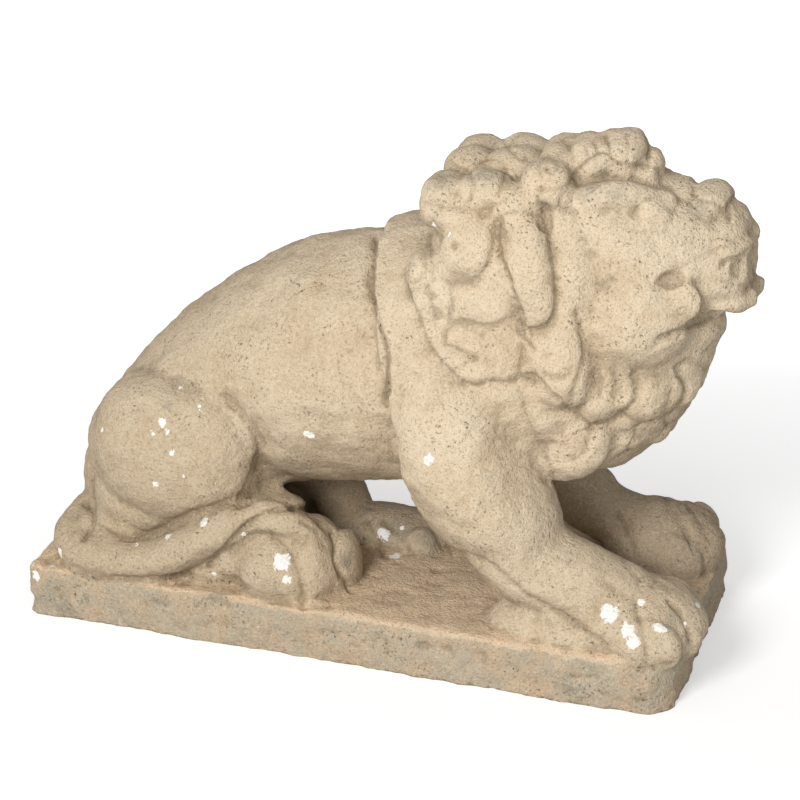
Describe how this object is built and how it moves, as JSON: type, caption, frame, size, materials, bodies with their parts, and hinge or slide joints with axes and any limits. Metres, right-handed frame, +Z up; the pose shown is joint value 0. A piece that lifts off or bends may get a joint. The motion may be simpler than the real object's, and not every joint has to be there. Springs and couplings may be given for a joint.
{
  "type": "lion statue",
  "caption": "Weathered carved stone lion on its own low rectangular plinth, head raised, mouth open and tail laid round one haunch, for a garden, gate or terrace.",
  "frame": {"origin": "under the middle of the plinth, on its sawn underside", "axes": "+X runs along the plinth to the head, +Y across it to the far side, +Z is up"},
  "size_m": [0.8441, 0.3467, 0.6372],
  "materials": {
    "sandstone": "worn, grainy, matt"
  },
  "bodies": {
    "root": {"lion_statue": "sandstone"}
  },
  "joints": []
}
